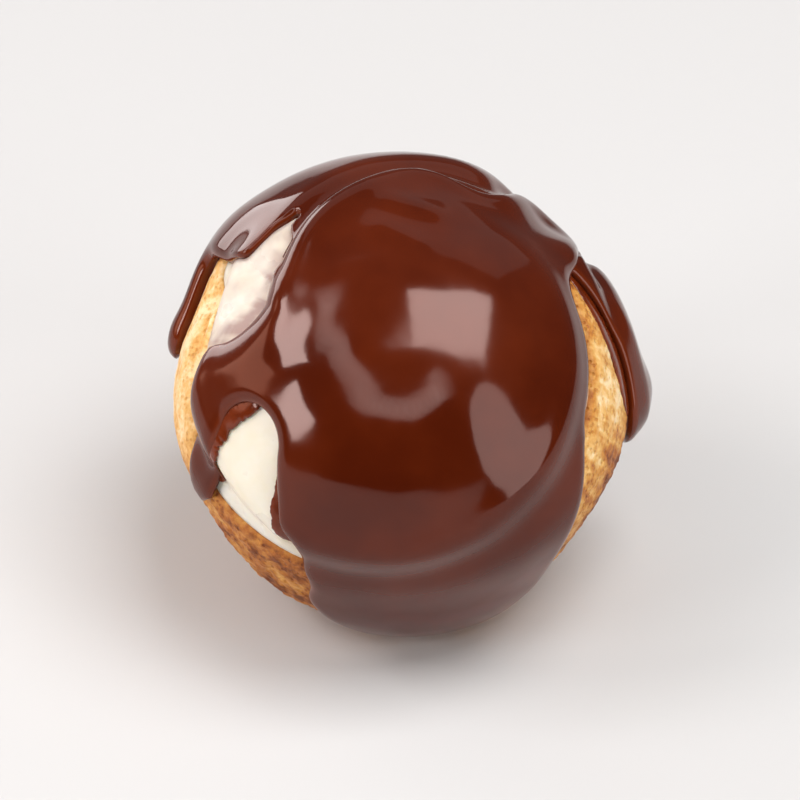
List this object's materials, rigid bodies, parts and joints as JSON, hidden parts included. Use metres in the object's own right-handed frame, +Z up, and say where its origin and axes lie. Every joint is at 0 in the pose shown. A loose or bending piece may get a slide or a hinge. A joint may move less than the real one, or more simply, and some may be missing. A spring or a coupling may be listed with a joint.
{
  "type": "cream puff",
  "caption": "Round choux bun cut on a slant, filled with cream and flooded with glossy chocolate that runs down in a tongue and drips.",
  "frame": {"origin": "centre of the whole puff's box, on the surface it stands on", "axes": "+Z up, -Y towards the front, where the lid faces and the widest tongue of chocolate runs down, +X to the right seen from the front"},
  "size_m": [0.0506, 0.0522, 0.0476],
  "materials": {
    "choux": "matt golden-brown baked crust",
    "cream": "smooth soft ivory cream",
    "chocolate": "glossy poured chocolate"
  },
  "bodies": {
    "root": {"choux_base": "choux", "choux_lid": "choux", "cream_filling": "cream", "chocolate_coat": "chocolate"}
  },
  "joints": []
}
